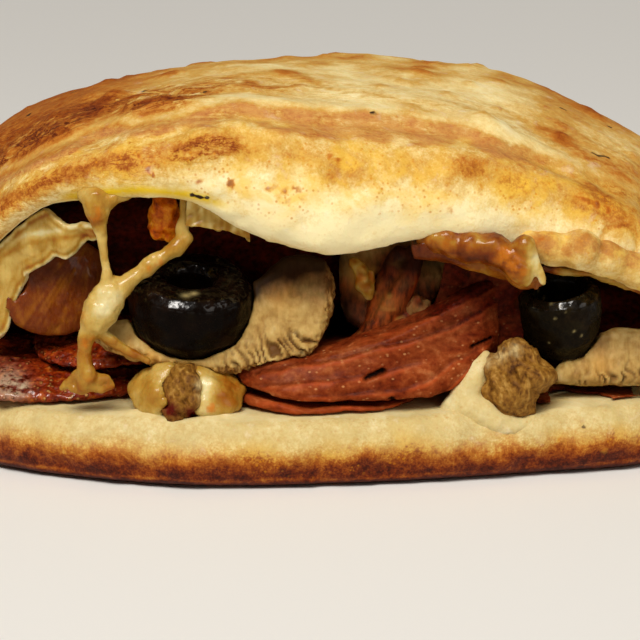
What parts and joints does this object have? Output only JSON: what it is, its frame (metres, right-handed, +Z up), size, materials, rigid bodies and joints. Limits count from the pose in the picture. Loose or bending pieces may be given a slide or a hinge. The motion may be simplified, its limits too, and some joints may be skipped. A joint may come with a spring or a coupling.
{
  "type": "stromboli",
  "caption": "Baked stromboli: a folded bread shell, open along one side, holding ham, olives, mushrooms, pepperoni, sausage and melted cheese.",
  "frame": {"origin": "middle of the loaf's box, on its flat underside", "axes": "+X along the loaf, +Y from the open side to the closed back, +Z up"},
  "size_m": [0.1498, 0.1134, 0.0645],
  "materials": {
    "baked_crust": "golden baked bread crust, matt",
    "ham": "moist pink-brown cooked ham",
    "black_olive": "wet black olive skin, glossy",
    "mushroom": "cream baked mushroom with fine gills",
    "pepperoni": "oily red-brown pepperoni",
    "sausage": "crumbly tan-brown sausage meat",
    "roast_pepper": "wet orange-red roast pepper",
    "melted_cheese": "pale melted cheese with a soft shine",
    "browned_cheese": "cheese browned to a dark amber, shiny"
  },
  "bodies": {
    "root": {"cheese_layer_right": "melted_cheese", "cheese_mound_left": "melted_cheese", "cheese_skin_left": "melted_cheese", "cheese_slice_browned": "browned_cheese", "cheese_strings_left": "melted_cheese", "dough": "baked_crust", "ham_folds": "ham", "ham_slice_lower": "ham", "ham_slice_right": "ham", "ham_slice_upper": "ham", "mushroom_left": "mushroom", "mushroom_middle": "mushroom", "mushroom_right": "mushroom", "olive_left": "black_olive", "olive_right": "black_olive", "pepper_chunk": "roast_pepper", "pepperoni_behind": "pepperoni", "pepperoni_front": "pepperoni", "sausage_left": "sausage", "sausage_right": "sausage"}
  },
  "joints": []
}
